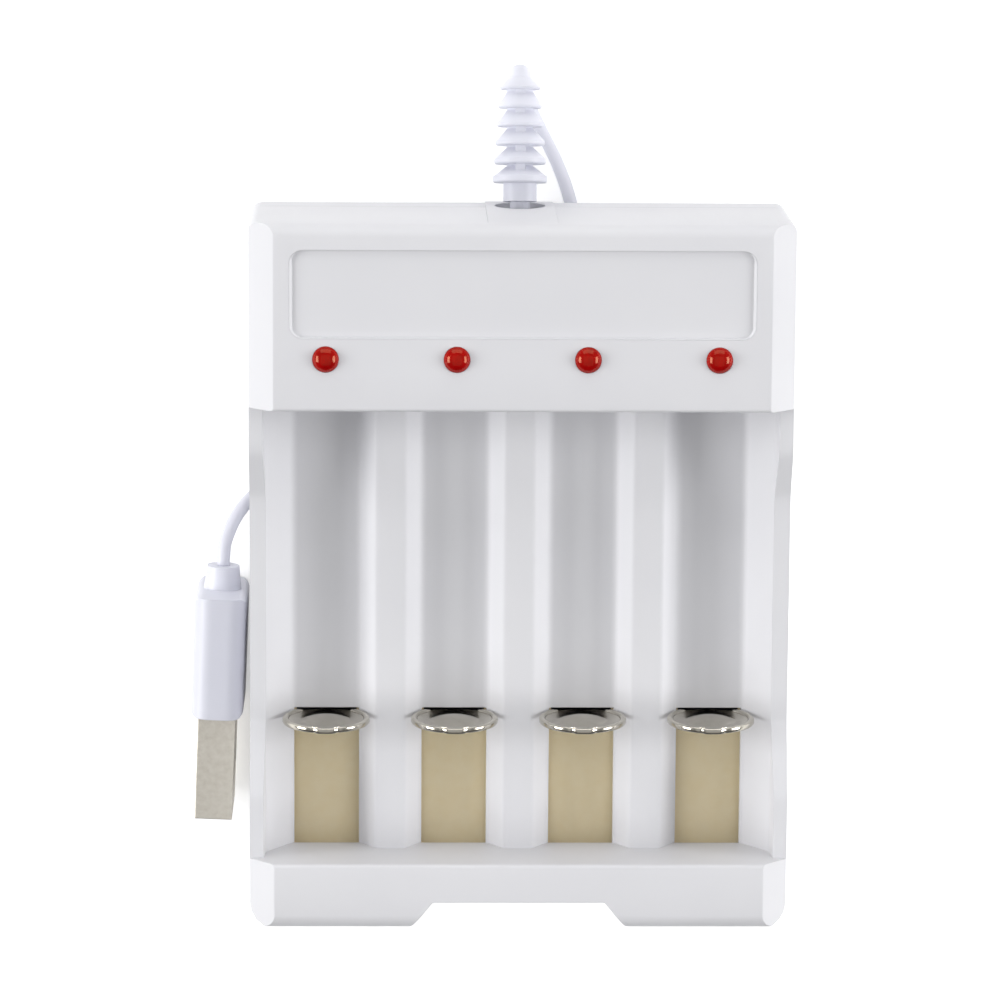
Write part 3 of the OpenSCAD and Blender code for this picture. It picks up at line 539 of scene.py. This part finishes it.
class CHARGER_OT_contacts(bpy.types.Operator):
    """Stamp the dished sliding contacts with their tongues, and dress the fixed contacts"""

    bl_idname = "charger.contacts"
    bl_label = "Contacts"

    # Lean, sheet and top tab of a dish, as in the part's source
    lean = np.radians(2)
    sheet = 0.45 * MM
    edge_tab = 0.3 * MM
    # The tongue's faces lie this far inside the dish's, so that none of them coincide
    set_back = 0.03 * MM

    def execute(self, context):
        for i in range(1, BAYS + 1):
            low, high = np.array(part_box(f"sliding_contact_{i}"))
            dish, tongue = self.grids(low, high)
            for name, grid, slot, key in (
                ("contact_dish", dish, "contact_nickel", "nickel"),
                # The tongue's dark steel is painted shade, for the shadow in the slot behind the dish
                ("contact_tongue", tongue, "spring_steel", "painted_shade_steel"),
            ):
                piece = shell_piece(f"{name}_{i}", grid, f"slider_{i}", split_angle=50)
                piece.data.materials.append(finish(key))
                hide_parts(f"sliding_contact_{i}")
            dress(f"fixed_contact_{i}", finish("nickel"), split_angle=30)
        return {"FINISHED"}

    def grids(self, low, high):
        """The dish in its leaning plane, and the bent strip that is its neck, tongue and spring tab."""
        rim, t = sizes().dish_diameter / 2, self.sheet
        reach = rim + self.edge_tab
        down = np.array((0, np.sin(self.lean), -np.cos(self.lean)))
        front = np.array((0, np.cos(self.lean), np.sin(self.lean)))
        middle = np.array([
            (low[0] + high[0]) / 2, low[1] + reach * down[1], high[2] + reach * down[2] - t * front[2],
        ])
        x, y, z = np.moveaxis(self.dish(rim, t)[..., None], 2, 0)
        dish = middle + x * np.array((1, 0, 0)) + y * down + z * front
        neck_start, tab_drop, bend, bend_points = 4.5 * MM, 2.8 * MM, 0.15 * MM, 7
        top = middle + neck_start * down + t / 2 * front
        tongue_z, tab_y = low[2] + tab_drop + t / 2, high[1] - t / 2
        heel = top + down * (tongue_z - top[2]) / down[2]
        corners = [top, heel, (middle[0], tab_y, tongue_z), (middle[0], tab_y, low[2])]
        # Half widths in millimetres: the neck through the first bend, the tongue into the second, then the tab
        half_widths = np.repeat((3.6, 4.1, 1.1), (bend_points, 4, 5)) * MM
        return dish, strip(bent(corners, bend, bend_points), half_widths, t - 2 * self.set_back)

    def dish(self, rim, t):
        """Spun profile: a low dome, a ring that slopes out to a round bead at the rim, then back along the rear.
        Towards its top the rim stands out by a small tab, and where it enters the slot it has no bead."""
        dome_r, dome_h, dip = 3.15 * MM, 0.36 * MM, 0.2 * MM
        bead_r, bead_h, back_edge = 0.38 * MM, 0.26 * MM, 0.1 * MM
        dome_points, bead_points, sides = 12, 11, 96
        r = np.linspace(0, dome_r, dome_points)
        dome = dome_h * (1 - (r / dome_r) ** 2)
        turn = np.linspace(0, np.pi, bead_points)
        profile = np.vstack([
            np.stack([r, t + dome - dip * (r / dome_r) ** 2], axis=1),
            np.stack([rim - bead_r - bead_r * np.cos(turn), t + bead_h * np.sin(turn)], axis=1),
            [(rim, t / 3), (rim - back_edge, 0)],
            np.stack([r, dome], axis=1)[::-1],
        ])
        grid = revolved(profile, sides)
        slot_end, tab_half = 3.5 * MM, 1.3 * MM
        grid[..., 2] = np.where(grid[..., 1] > slot_end, np.minimum(grid[..., 2], t), grid[..., 2])
        at_rim = np.hypot(grid[..., 0], grid[..., 1]) > rim - bead_r
        on_tab = (grid[..., 1] < 0) & (np.abs(grid[..., 0]) < tab_half) & at_rim
        grid[..., 1] = np.where(on_tab, grid[..., 1] - self.edge_tab, grid[..., 1])
        return grid


class CHARGER_OT_springs(bpy.types.Operator):
    """Wind the return springs as still coils; the real ones stretch as their contacts slide"""

    bl_idname = "charger.springs"
    bl_label = "Return springs"

    def execute(self, context):
        wire, sides = sizes().spring_wire, 8
        for i in range(1, BAYS + 1):
            low, high = np.array(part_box(f"return_spring_{i}"))
            grid = swept(self.helix(low, high, wire), wire / 2, sides, (0, 1, 0))
            piece = tube_piece(f"spring_coil_{i}", grid, None)
            piece.data.materials.append(finish("spring"))
            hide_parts(f"return_spring_{i}")
            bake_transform(piece)
        return {"FINISHED"}

    def helix(self, low, high, wire):
        """Helix along Y: as t goes from 0 to 1, the point goes from end to end by t and round by t times all the
        turns."""
        turns, steps = 15, 24
        radius = (sizes().spring_diameter - wire) / 2
        t = np.linspace(0, 1, turns * steps + 1)
        turn = 2 * np.pi * turns * t
        x, _, z = (low + high) / 2
        along = low[1] + wire / 2 + (high[1] - low[1] - wire) * t
        return np.stack([x + radius * np.cos(turn), along, z + radius * np.sin(turn)], axis=1)


class CHARGER_OT_relief(bpy.types.Operator):
    """Dress the ribbed strain relief"""

    bl_idname = "charger.relief"
    bl_label = "Strain relief"

    def execute(self, context):
        dress("strain_relief", finish("pvc"), split_angle=30)
        return {"FINISHED"}


class CHARGER_OT_plug(bpy.types.Operator):
    """Dress the plug: moulding, metal shell, tongue and contact strips"""

    bl_idname = "charger.plug"
    bl_label = "Plug"

    def execute(self, context):
        dress("plug_moulding", finish("pvc"), split_angle=30)
        dress("plug_shell", finish("shell"), split_angle=30)
        dress("plug_tongue", finish("pvc"))
        dress("plug_contacts", finish("gold"))
        return {"FINISHED"}


# Stage

# The photograph's camera: place in millimetres, turns in degrees, lens on a 36 mm square sensor
CAMERA_PLACE = (-15.81, 115.27, 590.03)
CAMERA_TURNS = (("Y", -1.3496), ("X", -10.6038), ("Z", 0.3784))
CAMERA_LENS = 176.35
SENSOR = 36.0

# Soft boxes, turned to the origin: place in metres, width and height, watts. The low ones at the sides and the far
# end light the bevels, and the broad one overhead fills the bays.
SOFT_BOXES = {
    "left_box": ((-0.75, 0.0, 0.32), (0.56, 0.3), 4.95),
    "right_box": ((0.75, 0.0, 0.32), (0.56, 0.3), 4.65),
    "far_box": ((0.0, 0.85, 0.3), (1.2, 0.5), 3.5),
    "top_box": ((0.0, -0.1, 0.95), (1.6, 1.6), 2.65),
}

# Strength of the studio's pale walls and of its dark near wall, and the Y of a direction past which it is darkest
WORLD_LEVEL, DARK_LEVEL, DARK_FROM = 0.385, 0.09, -0.9

# Half the side of the floor in metres, and the strength of its glow
FLOOR_HALF, FLOOR_GLOW = 12.0, 0.45


def pale_floor(name):
    """Floor paint: matt white that takes the shadow. Straight from the camera, in gloss and through clear pieces
    it also glows a little, so that the lit floor reads as white paper."""
    material, tree, out = new_material(name)
    diffuse = add(tree, "ShaderNodeBsdfDiffuse", {}, {"Color": rgba(linear("#F2F2F2"))})
    path = add(tree, "ShaderNodeLightPath")
    seen = add(tree, "ShaderNodeMath", {"operation": "MAXIMUM"}, {
        0: path.outputs["Is Camera Ray"], 1: path.outputs["Is Glossy Ray"],
    })
    seen = add(tree, "ShaderNodeMath", {"operation": "MAXIMUM"}, {
        0: seen.outputs[0], 1: path.outputs["Is Transmission Ray"],
    })
    glow = add(tree, "ShaderNodeMath", {"operation": "MULTIPLY"}, {0: seen.outputs[0], 1: FLOOR_GLOW})
    light = add(tree, "ShaderNodeEmission", {}, {"Strength": glow.outputs[0]})
    both = add(tree, "ShaderNodeAddShader", {}, {0: diffuse.outputs[0], 1: light.outputs[0]})
    tree.links.new(both.outputs[0], out.inputs["Surface"])
    return material


def studio_world(name):
    """Pale studio all round, which falls off to a dark wall on the near side."""
    world = bpy.data.worlds.new(name)
    world.use_nodes = True
    tree = world.node_tree
    tree.nodes.clear()
    way = add(tree, "ShaderNodeSeparateXYZ", {}, {0: add(tree, "ShaderNodeTexCoord").outputs["Generated"]})
    level = add(tree, "ShaderNodeMapRange", {}, {
        "Value": way.outputs["Y"], "From Min": DARK_FROM, "From Max": 0.0,
        "To Min": DARK_LEVEL, "To Max": WORLD_LEVEL,
    })
    back = add(tree, "ShaderNodeBackground", {}, {"Strength": level.outputs["Result"]})
    add(tree, "ShaderNodeOutputWorld", {}, {"Surface": back.outputs[0]})
    return world


class CHARGER_OT_stage(bpy.types.Operator):
    """Set up the camera of the photograph, a pale floor and soft studio light"""

    bl_idname = "charger.stage"
    bl_label = "Stage"

    def execute(self, context):
        scene = context.scene
        scene.view_settings.view_transform = "Standard"
        self.camera(scene)
        self.floor(scene)
        self.light(scene)
        return {"FINISHED"}

    def camera(self, scene):
        """Camera at its place, turned about its own axes one after the other."""
        data = bpy.data.cameras.new("photo_camera")
        data.lens, data.sensor_width, data.sensor_fit = CAMERA_LENS, SENSOR, "HORIZONTAL"
        data.clip_start, data.clip_end = 0.01, 20
        camera = bpy.data.objects.new("photo_camera", data)
        scene.collection.objects.link(camera)
        turn = Matrix.Identity(4)
        for axis, degrees in CAMERA_TURNS:
            turn = turn @ Matrix.Rotation(np.radians(degrees), 4, axis)
        camera.matrix_world = Matrix.Translation(np.array(CAMERA_PLACE) * MM) @ turn
        scene.camera = camera

    def floor(self, scene):
        """Flat square floor about the origin."""
        half = FLOOR_HALF
        mesh = bpy.data.meshes.new("pale_floor")
        corners = [(-half, -half, 0), (half, -half, 0), (half, half, 0), (-half, half, 0)]
        mesh.from_pydata(corners, [], [(0, 1, 2, 3)])
        mesh.materials.append(pale_floor("floor_matt_white"))
        floor = bpy.data.objects.new("pale_floor", mesh)
        scene.collection.objects.link(floor)

    def light(self, scene):
        """The world, and each soft box at its place with its back turned away from the origin."""
        scene.world = studio_world("studio")
        for name, (place, (width, height), watts) in SOFT_BOXES.items():
            data = bpy.data.lights.new(name, "AREA")
            data.shape, data.size, data.size_y, data.energy = "RECTANGLE", width, height, watts
            box = bpy.data.objects.new(name, data)
            scene.collection.objects.link(box)
            box.location = place
            box.rotation_euler = Vector(place).to_track_quat("Z", "Y").to_euler()


class CHARGER_PT_sidebar(bpy.types.Panel):
    """Colours, sizes and steps of the charger"""

    bl_label = "Battery charger"
    bl_space_type = "VIEW_3D"
    bl_region_type = "UI"
    bl_category = "Charger"

    def draw(self, context):
        for group in (colours(), sizes()):
            for key in group.__annotations__:
                self.layout.prop(group, key)
        for step in STEPS:
            self.layout.operator(step.bl_idname)


# The camera and the cord come first
STEPS = (
    CHARGER_OT_stage, CHARGER_OT_cord, CHARGER_OT_housing, CHARGER_OT_board, CHARGER_OT_lamps,
    CHARGER_OT_contacts, CHARGER_OT_springs, CHARGER_OT_relief, CHARGER_OT_plug,
)
CLASSES = (ChargerColours, ChargerSizes, *STEPS, CHARGER_PT_sidebar)


def register():
    """Register the classes, and put the two groups of properties on the scene."""
    for cls in CLASSES:
        bpy.utils.register_class(cls)
    bpy.types.Scene.charger_colours = bpy.props.PointerProperty(type=ChargerColours)
    bpy.types.Scene.charger_sizes = bpy.props.PointerProperty(type=ChargerSizes)


def unregister():
    """Undo what register did, in the opposite order."""
    del bpy.types.Scene.charger_sizes
    del bpy.types.Scene.charger_colours
    for cls in reversed(CLASSES):
        bpy.utils.unregister_class(cls)


def main():
    """Make the charger step by step."""
    register()
    for step in STEPS:
        group, name = step.bl_idname.split(".")
        getattr(getattr(bpy.ops, group), name)()


if __name__ == "__main__":
    main()
